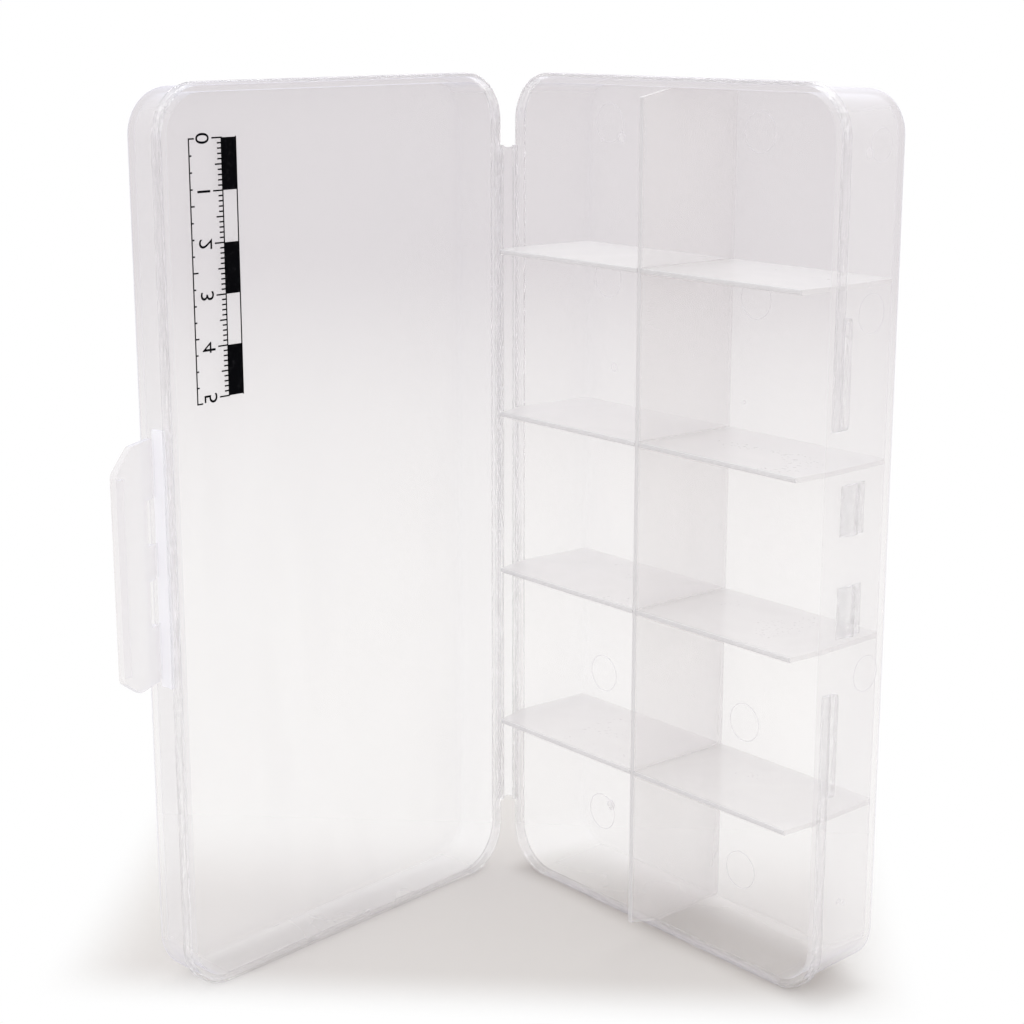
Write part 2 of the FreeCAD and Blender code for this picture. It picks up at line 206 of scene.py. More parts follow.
class Shader(Tree):
    """The node tree of a material or the world."""

    def __init__(self, owner: Union[bpy.types.Material, bpy.types.World]) -> None:
        """Clear the owner's tree and start on it."""
        owner.use_nodes = True
        super().__init__(owner.node_tree)

    def signal(self, kind: str, output: str, **parts: Any) -> Signal:
        """Add a node and wrap one of its outputs."""
        return Signal(self, self.node(kind, **parts).outputs[output])

    def mix_colour(self, share: Any, first: Any, second: Any) -> bpy.types.NodeSocket:
        """Mix two colours.

        Args:
            share: Number or signal, 0 for the first colour and 1 for the second.
            first: Colour or colour socket.
            second: Colour or colour socket.

        Returns:
            The mixed colour's socket.
        """
        # The node's sockets for colours are its inputs 6 and 7 and its output 2
        node = self.node(
            "ShaderNodeMix", {"data_type": "RGBA"}, {0: share, 6: first, 7: second}
        )
        return node.outputs[2]

    def object_coordinates(self) -> bpy.types.NodeSocket:
        """Coordinates of the piece, which are the row frame's in metres."""
        return self.node("ShaderNodeTexCoord").outputs["Object"]

    def axis(self, name: str, place: bpy.types.NodeSocket) -> Signal:
        """One coordinate of a vector socket."""
        return self.signal("ShaderNodeSeparateXYZ", name, inputs={0: place})

    def noise(
        self, place: bpy.types.NodeSocket, scale: float, detail: float, twist: float = 0.0
    ) -> Signal:
        """Smooth noise between 0 and 1."""
        inputs = {"Vector": place, "Scale": scale, "Detail": detail, "Distortion": twist}
        return self.signal("ShaderNodeTexNoise", "Fac", inputs=inputs)

    def measure(self, operation: str, *vectors: Any) -> Signal:
        """Measure one or two vectors with a Vector Math node."""
        parts = {"settings": {"operation": operation}, "inputs": dict(enumerate(vectors))}
        return self.signal("ShaderNodeVectorMath", "Value", **parts)

    def bare(self, path: bpy.types.Node) -> Signal:
        """1 for a ray that hasn't passed through plastic yet, and 0 for one that has."""
        return 1 - Signal(self, path.outputs["Transparent Depth"]).smooth(0.0, 1.0)

    def close(self, kind: str, surface: bpy.types.NodeSocket) -> None:
        """End the tree with its output node."""
        self.feed(self.node(kind).inputs["Surface"], surface)


@dataclass(frozen=True)
class EdgeBand:
    """Strip at the low end of a piece, with painted shade in a colour of its own and a haze of its own."""

    axis: str
    limit: float
    blur: float
    colour: Colour
    haze: float

    def mask(self, shader: Shader, place: bpy.types.NodeSocket) -> Signal:
        """1 below the limit and 0 above it, with a soft step between them.

        Args:
            shader: The shader under construction.
            place: Coordinates of the piece.

        Returns:
            The mask.
        """
        along = shader.axis(self.axis, place)
        return 1 - along.smooth(self.limit - self.blur, self.limit + self.blur)


@dataclass(frozen=True)
class MilkyPlastic:
    """Clear polypropylene with a milky cast, which grows where one looks along it.

    The haze is the share of light that the plastic scatters. The rest goes straight on.
    """

    name: str
    tint: Colour = (0.985, 0.970, 0.978)
    shade: Colour = (0.972, 0.956, 0.966)
    # Painted sheen: the colour that the surface turns to where one looks along it
    sheen_tint: Colour = (0.885, 0.880, 0.965)
    haze: float = 0.18
    haze_low: float = 0.92
    haze_swing: float = 0.16
    clarity: float = 0.0
    refraction: float = 1.49
    sheen: float = 0.60
    sheen_reach: Span = (0.05, 0.60)
    gloss: float = 0.26
    frost: float = 0.10
    frost_by_flow: float = 0.6
    frost_by_grain: float = 0.4
    # Painted glow: light given off in the tint, though the part is no lamp
    glow: float = 0.0
    flow_scale: float = 45.0
    flow_detail: float = 3.0
    flow_twist: float = 0.6
    flow_stretch: tuple[float, float, float] = (1.0, 1.0, 0.35)
    flow_reach: Span = (0.35, 0.70)
    grain_scale: float = 1400.0
    grain_detail: float = 1.0
    slant_blend: float = 0.5
    ripple: float = 0.03
    ripple_depth: float = 0.2 * MM
    # Band at the low end, with painted shade and a haze of its own
    edge: Optional[EdgeBand] = None

    def build(self) -> bpy.types.Material:
        """Make the material.

        Returns:
            The finished material.
        """
        material = bpy.data.materials.new(self.name)
        shader = Shader(material)
        place = shader.object_coordinates()
        along = shader.node(
            "ShaderNodeMapping", inputs={"Vector": place, "Scale": self.flow_stretch}
        )
        flow = shader.noise(
            along.outputs["Vector"], self.flow_scale, self.flow_detail, self.flow_twist
        )
        grain = shader.noise(place, self.grain_scale, self.grain_detail)
        bump = shader.node(
            "ShaderNodeBump",
            inputs={
                "Strength": self.ripple,
                "Distance": self.ripple_depth,
                "Height": flow,
            },
        )
        slant = shader.signal(
            "ShaderNodeLayerWeight", "Facing", inputs={"Blend": self.slant_blend}
        )
        streak = flow.smooth(*self.flow_reach)
        frost = self.frost_by_flow * streak + self.frost_by_grain * grain
        grazing = slant * slant * slant
        colour = shader.mix_colour(streak, self.tint, self.shade)
        # Painted sheen: at grazing views the colour turns towards the sheen tint
        colour = shader.mix_colour(grazing.smooth(*self.sheen_reach), colour, self.sheen_tint)
        cloud = self.haze * (self.haze_low + self.haze_swing * streak) + self.sheen * grazing
        # Painted shade: at the low end the colour turns darker and the haze changes
        if self.edge is not None:
            band = self.edge.mask(shader, place)
            colour = shader.mix_colour(band, colour, self.edge.colour)
            cloud = cloud + self.edge.haze * band
        surface = shader.node(
            "ShaderNodeBsdfPrincipled",
            inputs={
                "Base Color": colour,
                "Roughness": self.gloss + self.frost * frost,
                "IOR": self.refraction,
                "Transmission Weight": self.clarity,
                "Alpha": cloud,
                # The painted glow
                "Emission Color": self.tint,
                "Emission Strength": self.glow,
                "Normal": bump.outputs["Normal"],
            },
        )
        shader.close("ShaderNodeOutputMaterial", surface.outputs["BSDF"])
        return material


@dataclass(frozen=True)
class PrintInk:
    """Black ink of the printed rule, a little worn and uneven."""

    name: str = "black_ink"
    dark: Colour = (0.004, 0.004, 0.005)
    worn: Colour = (0.012, 0.012, 0.013)
    wear_scale: float = 900.0
    wear_detail: float = 4.0
    wear_reach: Span = (0.55, 0.75)
    smoothest: float = 0.35
    roughening: float = 0.25

    def build(self) -> bpy.types.Material:
        """Make the material.

        Returns:
            The finished material.
        """
        material = bpy.data.materials.new(self.name)
        shader = Shader(material)
        wear = shader.noise(shader.object_coordinates(), self.wear_scale, self.wear_detail)
        colour = shader.mix_colour(wear.smooth(*self.wear_reach), self.dark, self.worn)
        surface = shader.node(
            "ShaderNodeBsdfPrincipled",
            inputs={
                "Base Color": colour,
                "Roughness": self.smoothest + self.roughening * wear,
                "Specular IOR Level": 0.0,
            },
        )
        shader.close("ShaderNodeOutputMaterial", surface.outputs["BSDF"])
        return material


# Places


@dataclass(frozen=True)
class Bench:
    """A flat frame that stands upright at a point and is turned about it."""

    x: float
    y: float
    turn: float

    def place(self, x: float, y: float, z: float) -> Vector:
        """Row point of a place in this frame.

        Args:
            x: Distance along the frame's first direction.
            y: Distance along its second direction.
            z: Height, which all frames share.

        Returns:
            The point in the row frame.
        """
        cos, sin = math.cos(self.turn), math.sin(self.turn)
        return Vector((self.x + cos * x - sin * y, self.y + sin * x + cos * y, z))


def joint(name: str) -> dict[str, Any]:
    """A joint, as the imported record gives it."""
    return next(entry for entry in frame["joints"] if entry["name"] == name)


def joint_bench(name: str, turn: float) -> Bench:
    """Bench on a joint's axis."""
    x, y, _ = joint(name)["pos_m"]
    return Bench(x, y, turn)


def joint_limit(name: str) -> float:
    """Upper limit of a joint, in radians."""
    return math.radians(joint(name)["range_deg"][1])


WALL = 1.2 * MM
OPEN_ANGLE = joint_limit("lid_hinge")
LATCH_ANGLE = joint_limit("latch_hinge")
LID_BENCH = joint_bench("lid_hinge", -OPEN_ANGLE)
LATCH_BENCH = joint_bench("latch_hinge", -OPEN_ANGLE)
LATCH_WEBS = ("latch_web_upper", "latch_web_middle", "latch_web_lower")


def panel_depth() -> float:
    """Distance of the lid panel's inner face from the hinge's plane.

    Returns:
        The distance, in metres.
    """
    mesh = frame["nodes"]["lid_shell"].data
    out = Vector((-math.sin(OPEN_ANGLE), -math.cos(OPEN_ANGLE), 0.0))
    start = Vector((LID_BENCH.x, LID_BENCH.y, 0.0))
    return max((point.co - start).dot(out) for point in mesh.vertices) - WALL


def divider_edge(depth: float = 0.3 * MM) -> EdgeBand:
    """Front edges of the dividers, where one looks along their plastic: more haze, and painted shade.

    Args:
        depth: Depth of the band from the edges.

    Returns:
        The band.
    """
    low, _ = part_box("centre_divider")
    return EdgeBand(
        "Y", limit=low.y + depth, blur=0.05 * MM, colour=(0.76, 0.75, 0.76), haze=0.45
    )


def foot_shade(colour: Colour) -> EdgeBand:
    """Painted shade on the lower end walls, as dark as the shaded floor under them."""
    return EdgeBand("Z", limit=2.6 * MM, blur=0.8 * MM, colour=colour, haze=0.0)


def new_object(name: str, data: Any) -> bpy.types.Object:
    """Link an object to the scene.

    Args:
        name: Name of the object.
        data: Mesh, text curve, lamp or camera that it holds.

    Returns:
        The new object.
    """
    made = bpy.data.objects.new(name, data)
    bpy.context.scene.collection.objects.link(made)
    return made


def mesh_object(
    name: str, points: Sequence[Vector], faces: Sequence[Sequence[int]]
) -> bpy.types.Object:
    """Object of a closed mesh whose faces point outwards.

    Args:
        name: Name of the piece.
        points: Its corners, in the row frame.
        faces: Its faces, as numbers of corners.

    Returns:
        The new object.
    """
    mesh = bpy.data.meshes.new(name)
    mesh.from_pydata(points, [], faces)
    build = bmesh.new()
    build.from_mesh(mesh)
    bmesh.ops.recalc_face_normals(build, faces=build.faces)
    build.to_mesh(mesh)
    build.free()
    return new_object(name, mesh)


def dress(piece: bpy.types.Object, material: bpy.types.Material) -> None:
    """Give a piece one material in all its slots."""
    piece.data.materials.clear()
    piece.data.materials.append(material)


def settle(piece: bpy.types.Object, body: Body) -> None:
    """Let a piece ride on its body.

    Args:
        piece: The piece.
        body: Body that it moves with.
    """
    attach(piece, body.value)
    LOG.info("%s rides on %s", piece.name, body.value)


# Geometry node trees


class ShapeTree(Tree):
    """A tree of geometry nodes, which ends in Realize Instances and Set Material."""

    def __init__(self, name: str, sizes: dict[str, float]) -> None:
        """Start a tree with a geometry input and named sizes.

        Args:
            name: Name of the tree.
            sizes: Names and values of its size inputs.
        """
        super().__init__(bpy.data.node_groups.new(name, "GeometryNodeTree"))
        self.sizes = sizes
        face = self.tree.interface
        face.new_socket("Geometry", in_out="INPUT", socket_type="NodeSocketGeometry")
        for label in sizes:
            face.new_socket(label, in_out="INPUT", socket_type="NodeSocketFloat")
        face.new_socket("Finish", in_out="INPUT", socket_type="NodeSocketMaterial")
        face.new_socket("Geometry", in_out="OUTPUT", socket_type="NodeSocketGeometry")
        self.inlet = self.tree.nodes.new("NodeGroupInput")

    def given(self, label: str) -> bpy.types.NodeSocket:
        """Socket of one of the tree's inputs."""
        return self.inlet.outputs[label]

    def maths(self, operation: str, first: Any, second: Any) -> bpy.types.NodeSocket:
        """Add a Math node and give its result."""
        node = self.node("ShaderNodeMath", {"operation": operation}, {0: first, 1: second})
        return node.outputs[0]

    def vector(self, x: Any, y: Any, z: Any) -> bpy.types.NodeSocket:
        """Join three numbers into a vector."""
        return self.node("ShaderNodeCombineXYZ", inputs={0: x, 1: y, 2: z}).outputs[0]

    def stored(self, label: str, data_type: str) -> bpy.types.NodeSocket:
        """Read an attribute of the source mesh."""
        kind = "GeometryNodeInputNamedAttribute"
        return self.node(kind, {"data_type": data_type}, {"Name": label}).outputs["Attribute"]

    def block(
        self, size: bpy.types.NodeSocket, centre: bpy.types.NodeSocket
    ) -> bpy.types.NodeSocket:
        """Add a flat block of ink.

        Args:
            size: Its size.
            centre: Its middle.

        Returns:
            Its geometry.
        """
        cube = self.node("GeometryNodeMeshCube", inputs={"Size": size}).outputs[0]
        moved = self.node(
            "GeometryNodeTransform", inputs={"Geometry": cube, "Translation": centre}
        )
        return moved.outputs[0]

    def row(
        self, count: int, start: bpy.types.NodeSocket, step: bpy.types.NodeSocket
    ) -> bpy.types.NodeSocket:
        """Add points in a straight row.

        Args:
            count: Number of points.
            start: Place of the first one.
            step: Offset from each to the next.

        Returns:
            The row's geometry.
        """
        inputs = {"Count": count, "Start Location": start, "Offset": step}
        return self.node("GeometryNodeMeshLine", inputs=inputs).outputs[0]

    def repeat(self, points: bpy.types.NodeSocket, **inputs: Any) -> bpy.types.NodeSocket:
        """Add copies of a shape on points, with the node's inputs given by name."""
        node = self.node("GeometryNodeInstanceOnPoints", inputs={"Points": points, **inputs})
        return node.outputs[0]

    def join(self, parts: Sequence[bpy.types.NodeSocket]) -> bpy.types.NodeSocket:
        """Join several geometries.

        Args:
            parts: The geometries.

        Returns:
            All of them as one.
        """
        node = self.node("GeometryNodeJoinGeometry")
        for part in parts:
            self.tree.links.new(part, node.inputs[0])
        return node.outputs[0]

    def finish(self, geometry: bpy.types.NodeSocket) -> None:
        """Close the tree with real geometry in its material.

        Args:
            geometry: All that the tree has made.
        """
        real = self.node("GeometryNodeRealizeInstances", inputs={"Geometry": geometry})
        dressed = self.node(
            "GeometryNodeSetMaterial",
            inputs={"Geometry": real.outputs[0], "Material": self.given("Finish")},
        )
        outlet = self.tree.nodes.new("NodeGroupOutput")
        self.tree.links.new(dressed.outputs[0], outlet.inputs["Geometry"])

    def run(
        self, name: str, source: bpy.types.Mesh, finish: bpy.types.Material, place: Matrix
    ) -> bpy.types.Object:
        """Run the tree on a mesh and keep the result as a plain mesh.

        Args:
            name: Name of the piece.
            source: Mesh that the tree starts from.
            finish: Material of the piece.
            place: Matrix that takes the result to its place in the row frame.

        Returns:
            The new object, with no modifier.
        """
        carrier = new_object(name, source)
        modifier = carrier.modifiers.new(name, "NODES")
        modifier.node_group = self.tree
        for item in self.tree.interface.items_tree:
            if item.in_out == "INPUT" and item.name in self.sizes:
                modifier[item.identifier] = self.sizes[item.name]
            elif item.in_out == "INPUT" and item.name == "Finish":
                modifier[item.identifier] = finish
        graph = bpy.context.evaluated_depsgraph_get()
        result = bpy.data.meshes.new_from_object(carrier.evaluated_get(graph))
        carrier.modifiers.remove(modifier)
        carrier.data = result
        result.transform(place)
        dress(carrier, finish)
        return carrier


def point_mesh(name: str, points: Iterable[Vector]) -> bpy.types.Mesh:
    """Mesh of loose points for a tree to build on.

    Args:
        name: Name of the mesh.
        points: The points.

    Returns:
        The mesh.
    """
    mesh = bpy.data.meshes.new(name)
    mesh.from_pydata(list(points), [], [])
    return mesh


# Sub-assemblies


@dataclass
class PackedPieces:
    """CAD nodes that keep their own shape and get the plastic of their slot.

    The beads along the mouths, which bend light, and the latch's seat, with its painted glow, have their own ones.
    """

    finishes: dict[Slot, bpy.types.Material]
    bead: bpy.types.Material
    seat: bpy.types.Material
    beads: tuple[str, ...] = (
        "base_rim",
        "lid_rim",
        "latch_guard_upper",
        "latch_guard_lower",
        "catch_lug_upper",
        "catch_lug_lower",
        "base_hinge_root",
        "lid_hinge_root",
    )
    seats: tuple[str, ...] = ("latch_seat",)
    webs: tuple[str, ...] = ("hinge_web", *LATCH_WEBS)

    def dress_all(self) -> None:
        """Give its finish to every node that stays."""
        for part in frame["record"]["subparts"]:
            name = part["node"]
            if name in self.webs:
                continue
            finish = self.finishes[Slot(part["material_slot"])]
            if name in self.beads:
                finish = self.bead
            elif name in self.seats:
                finish = self.seat
            dress(frame["nodes"][name], finish)
            LOG.info("%s keeps its CAD shape", name)


@dataclass
class LivingHinge:
    """A thin web bent in an arc that leaves both of its roots square."""

    name: str
    node: str
    bodies: tuple[Body, Body]
    bench: Bench
    centre: tuple[float, float]
    radius: float
    start: float
    sweep: float
    scoop: float = 0.5 * MM
    thin: float = 0.28 * MM
    thick: float = 0.46 * MM
    ease_power: int = 4
    steps: int = 28

    def _station(self, share: float) -> tuple[float, float]:
        """Angle about the arc's centre, and thickness, at a share of the web's width."""
        ease = abs(2 * share - 1) ** self.ease_power
        return self.start + self.sweep * share, self.thin + (self.thick - self.thin) * ease

    def _point(self, angle: float, reach: float, z: float) -> Vector:
        """Row point at an angle, a distance from the arc's centre and a height.

        Args:
            angle: Angle about the arc's centre.
            reach: Distance from it.
            z: Height.

        Returns:
            The point.
        """
        x = self.centre[0] + reach * math.cos(angle)
        y = self.centre[1] + reach * math.sin(angle)
        return self.bench.place(x, y, z)

    def build(self, finish: bpy.types.Material) -> bpy.types.Object:
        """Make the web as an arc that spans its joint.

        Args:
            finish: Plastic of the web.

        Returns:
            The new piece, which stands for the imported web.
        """
        low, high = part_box(self.node)
        points, faces = [], []
        for i in range(self.steps + 1):
            share = i / self.steps
            angle, thick = self._station(share)
            cut = self.scoop * (1 - (2 * share - 1) ** 2)
            for z in (low.z + cut, high.z - cut):
                for side in (-0.5, 0.5):
                    points.append(self._point(angle, self.radius + side * thick, z))
        for i in range(self.steps):
            a, b = 4 * i, 4 * (i + 1)
            faces += [(a, b, b + 2, a + 2), (a + 1, a + 3, b + 3, b + 1)]
            faces += [(a, a + 1, b + 1, b), (a + 2, b + 2, b + 3, a + 3)]
        last = 4 * self.steps
        faces += [(0, 2, 3, 1), (last, last + 1, last + 3, last + 2)]
        web = mesh_object(self.name, points, faces)
        dress(web, finish)
        start = self._point(self.start, self.radius, low.z)
        end = self._point(self.start + self.sweep, self.radius, low.z)
        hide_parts(self.node)
        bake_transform(web)
        return web


@dataclass
class Hinges:
    """The main living hinge and the three lengths of the latch's one."""

    web_back: float = 0.45 * MM
    pivot_out: float = 0.55 * MM

    def main_web(self) -> LivingHinge:
        """Fit the long web between the two halves.

        Returns:
            The web, not built yet.
        """
        root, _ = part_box("base_hinge_root")
        out = root.x - LID_BENCH.x
        back = root.y + self.web_back - LID_BENCH.y
        turn = math.pi - OPEN_ANGLE
        radius = (out + back / math.tan(OPEN_ANGLE / 2)) / math.tan(turn / 2)
        return LivingHinge(
            name="hinge_web_skin",
            node="hinge_web",
            bodies=(Body.BASE, Body.LID),
            bench=Bench(LID_BENCH.x, LID_BENCH.y, 0.0),
            centre=(out, back - radius),
            radius=radius,
            start=math.pi / 2,
            sweep=turn,
        )

    def latch_webs(self) -> list[LivingHinge]:
        """Fit the latch's webs, above, between and below its two windows.

        Returns:
            The webs, not built yet.
        """
        sweep = math.pi / 2 - LATCH_ANGLE
        radius = self.pivot_out / math.tan(sweep / 2)
        return [
            LivingHinge(
                name=f"{node}_skin",
                node=node,
                bodies=(Body.LID, Body.LATCH),
                bench=LATCH_BENCH,
                centre=(-self.pivot_out, radius),
                radius=radius,
                start=-math.pi / 2,
                sweep=sweep,
                scoop=0.2 * MM,
                steps=16,
            )
            for node in LATCH_WEBS
        ]

    def build(self, finish: bpy.types.Material) -> None:
        """Make all webs of one plastic."""
        for web in [self.main_web(), *self.latch_webs()]:
            web.build(finish)


@dataclass(frozen=True)
class Mark:
    """One witness mark: its place along its face and in height, and its radius, in mm."""

    along: float
    up: float
    radius: float
    ring: bool = True


@dataclass
class WitnessMarks:
    """Rings that ejector pins leave on the base's inner faces, and drops beside them."""

    wire: float = 0.11 * MM
    dome: float = 0.35
    draft: float = 0.9 * MM
    ring_steps: int = 56
    wire_steps: int = 8
    ball_segments: int = 24
    ball_rings: int = 12
    # In mm on the floor: distances from the rim's hinge side, and heights
    columns: tuple[float, float] = (9.5, 53.5)
    rows: tuple[float, ...] = (10.5, 44.0, 134.0, 167.2)
    floor_radius: float = 4.1
    drops: tuple[Mark, ...] = (
        Mark(13.2, 164.3, 1.2, ring=False),
        Mark(12.4, 12.9, 1.2, ring=False),
        Mark(11.7, 114.7, 1.0, ring=False),
        Mark(7.2, 163.7, 0.5, ring=False),
        Mark(51.0, 112.5, 0.45, ring=False),
    )
    # In mm on the latch-side wall: distances from the rim's middle plane, and heights
    wall_marks: tuple[Mark, ...] = (
        Mark(12.0, 166.6, 3.1),
        Mark(11.0, 135.5, 3.8),
        Mark(13.6, 64.5, 3.6),
        Mark(8.6, 165.1, 1.1, ring=False),
        Mark(8.1, 18.1, 0.7, ring=False),
        Mark(9.6, 17.4, 0.5, ring=False),
    )

    def _tree(self) -> ShapeTree:
        """Draw the tree that turns points into rings and flat drops of their own sizes.

        Returns:
            The tree.
        """
        tree = ShapeTree("witness_marks", {"Wire": self.wire, "Dome": self.dome})
        points = tree.node("GeometryNodeMeshToPoints", inputs={"Mesh": tree.given("Geometry")})
        ring = tree.stored("ring", "BOOLEAN")
        drop = tree.node("FunctionNodeBooleanMath", {"operation": "NOT"}, {0: ring}).outputs[0]
        turn = tree.node(
            "FunctionNodeEulerToRotation", inputs={0: tree.stored("turn", "FLOAT_VECTOR")}
        )
        circle = tree.node(
            "GeometryNodeCurvePrimitiveCircle",
            inputs={"Resolution": self.ring_steps, "Radius": 1.0},
        )
        ball = tree.node(
            "GeometryNodeMeshUVSphere",
            inputs={"Segments": self.ball_segments, "Rings": self.ball_rings, "Radius": 1.0},
        )
        flat = tree.node(
            "GeometryNodeTransform",
            inputs={
                "Geometry": ball.outputs[0],
                "Scale": tree.vector(1.0, 1.0, tree.given("Dome")),
            },
        )
        smooth = tree.node("GeometryNodeSetShadeSmooth", inputs={"Geometry": flat.outputs[0]})
        rings, drops = (
            tree.repeat(
                points.outputs[0],
                Selection=chosen,
                Instance=shape,
                Rotation=turn.outputs[0],
                Scale=tree.stored("mark_size", "FLOAT"),
            )
            for chosen, shape in ((ring, circle.outputs[0]), (drop, smooth.outputs[0]))
        )
        real = tree.node("GeometryNodeRealizeInstances", inputs={"Geometry": rings})
        wire = tree.node(
            "GeometryNodeCurvePrimitiveCircle",
            inputs={"Resolution": self.wire_steps, "Radius": tree.given("Wire")},
        )
        tube = tree.node(
            "GeometryNodeCurveToMesh",
            inputs={"Curve": real.outputs[0], "Profile Curve": wire.outputs[0]},
        )
        tree.finish(tree.join([tube.outputs[0], drops]))
        return tree

    def _places(self) -> list[tuple[Mark, Vector, Vector]]:
        """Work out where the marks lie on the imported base.

        Returns:
            Every mark with its point and its turn.
        """
        rim_low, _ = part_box("base_rim")
        tray_low, tray_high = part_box("base_tray")
        bed = tray_high.y - WALL
        slope = self.draft / (tray_high.y - tray_low.y)
        flat = Vector((math.pi / 2, 0.0, 0.0))
        side = Vector((0.0, -math.pi / 2, math.atan(slope)))
        floor = [Mark(x, z, self.floor_radius) for x in self.columns for z in self.rows]
        places = []
        for mark in (*floor, *self.drops):
            point = Vector((rim_low.x + mark.along * MM, bed, mark.up * MM))
            places.append((mark, point, flat))
        for mark in self.wall_marks:
            depth = mark.along * MM - tray_low.y
            x = tray_high.x - WALL - slope * depth
            places.append((mark, Vector((x, mark.along * MM, mark.up * MM)), side))
        return places

    def build(self, finish: bpy.types.Material) -> None:
        """Make the marks of the base as one piece.

        Args:
            finish: Plastic of the base.
        """
        places = self._places()
        source = point_mesh("mark_places", [point for _, point, _ in places])
        radii = source.attributes.new("mark_size", "FLOAT", "POINT")
        radii.data.foreach_set("value", [mark.radius * MM for mark, _, _ in places])
        rings = source.attributes.new("ring", "BOOLEAN", "POINT")
        rings.data.foreach_set("value", [mark.ring for mark, _, _ in places])
        turns = source.attributes.new("turn", "FLOAT_VECTOR", "POINT")
        turns.data.foreach_set("vector", [part for _, _, turn in places for part in turn])
        marks = self._tree().run("witness_marks", source, finish, Matrix.Identity(4))
        settle(marks, Body.BASE)


@dataclass(frozen=True)
class Scale:
    """One printed scale: its divisions, and where its line lies and its ticks point."""

    label: str
    division: float
    count: int
    middle_every: int
    long_every: int
    foot: float
    tick: float
    direction: int = 1


@dataclass
class PrintedRule:
    """A plain rule printed on the lid panel: two scales with ticks, and numbers."""

    top: float = 167.0 * MM
    line: float = 0.30 * MM
    film: float = 0.012 * MM
    skin: float = 0.004 * MM
    bar: float = 3.6 * MM
    tick_growth: float = 0.6
    digit_foot: float = 73.4 * MM
    digit_high: float = 3.4 * MM
    cap_share: float = 0.729
    weld: float = 0.0004 * MM
    metric: Scale = Scale(
        "Metric",
        division=1.0 * MM,
        count=51,
        middle_every=5,
        long_every=10,
        foot=70.3 * MM,
        tick=1.1 * MM,
    )
    inch: Scale = Scale(
        "Inch",
        division=3.175 * MM,
        count=17,
        middle_every=4,
        long_every=8,
        foot=78.3 * MM,
        tick=0.6 * MM,
        direction=-1,
    )

    def _scale(self, tree: ShapeTree, scale: Scale) -> list[bpy.types.NodeSocket]:
        """Add the nodes of one scale's line and ticks.

        Args:
            tree: The tree under construction.
            scale: The scale's sizes.

        Returns:
            Its geometries.
        """
        division = tree.given(f"{scale.label} Division")
        tick = tree.given(f"{scale.label} Tick")
        foot = tree.given(f"{scale.label} Foot")
        line, film = tree.given("Line"), tree.given("Film")
        row = tree.row(
            scale.count, tree.vector(0.0, foot, 0.0), tree.vector(division, 0.0, 0.0)
        )
        index = tree.node("GeometryNodeInputIndex").outputs[0]
        reach = 1.0
        for every in (scale.middle_every, scale.long_every):
            left = tree.maths("MODULO", index, float(every))
            longer = tree.maths("LESS_THAN", left, 0.5)
            reach = tree.maths("ADD", reach, tree.maths("MULTIPLY", self.tick_growth, longer))
        half = tree.maths("MULTIPLY", tick, 0.5 * scale.direction)
        stroke = tree.block(tree.vector(line, tick, film), tree.vector(0.0, half, 0.0))
        ticks = tree.repeat(row, Instance=stroke, Scale=tree.vector(1.0, reach, 1.0))
        return [ticks, self._long_line(tree, scale, foot)]

    def _long_line(
        self, tree: ShapeTree, scale: Scale, foot: bpy.types.NodeSocket
    ) -> bpy.types.NodeSocket:
        """Add a line as long as a scale.

        Args:
            tree: The tree under construction.
            scale: The scale.
            foot: Where the line lies across the scale.

        Returns:
            Its geometry.
        """
        line, film = tree.given("Line"), tree.given("Film")
        division = tree.given(f"{scale.label} Division")
        length = tree.maths("MULTIPLY", division, float(scale.count - 1))
        return tree.block(
            tree.vector(tree.maths("ADD", length, line), line, film),
            tree.vector(tree.maths("MULTIPLY", length, 0.5), foot, 0.0),
        )

    def _bar(self, tree: ShapeTree) -> list[bpy.types.NodeSocket]:
        """Add the metric scale's bar, black at every other stretch between long ticks.

        Args:
            tree: The tree under construction.

        Returns:
            Its geometries.
        """
        division, foot = tree.given("Metric Division"), tree.given("Metric Foot")
        film, bar = tree.given("Film"), tree.given("Bar")
        stretch = tree.maths("MULTIPLY", division, float(self.metric.long_every))
        middle = tree.maths("SUBTRACT", foot, tree.maths("MULTIPLY", bar, 0.5))
        row = tree.row(
            (self.metric.count // self.metric.long_every + 1) // 2,
            tree.vector(tree.maths("MULTIPLY", stretch, 0.5), middle, 0.0),
            tree.vector(tree.maths("MULTIPLY", stretch, 2.0), 0.0, 0.0),
        )
        block = tree.block(tree.vector(stretch, bar, film), tree.vector(0.0, 0.0, 0.0))
        under = self._long_line(tree, self.metric, tree.maths("SUBTRACT", foot, bar))
        return [tree.repeat(row, Instance=block), under]

    def _tree(self) -> ShapeTree:
        """Draw both scales flat, along X.

        Returns:
            The tree.
        """
        sizes = {"Line": self.line, "Film": self.film, "Bar": self.bar}
        for scale in (self.metric, self.inch):
            sizes[f"{scale.label} Division"] = scale.division
            sizes[f"{scale.label} Tick"] = scale.tick
            sizes[f"{scale.label} Foot"] = scale.foot
        tree = ShapeTree("printed_rule", sizes)
        parts = [part for scale in (self.metric, self.inch) for part in self._scale(tree, scale)]
        tree.finish(tree.join([*parts, *self._bar(tree)]))
        return tree

    def _place(self) -> Matrix:
        """Find the flat drawing's place, a hair above the lid panel's inner face.

        Returns:
            Matrix from the drawing to the row frame.
        """
        face = panel_depth() - self.skin - self.film / 2
        origin = LID_BENCH.place(0.0, -face, self.top)
        along = Vector((0.0, 0.0, -1.0))
        across = LID_BENCH.place(1.0, -face, self.top) - origin
        out = along.cross(across)
        turn = Matrix((along, across, out)).transposed().to_4x4()
        return Matrix.Translation(origin) @ turn

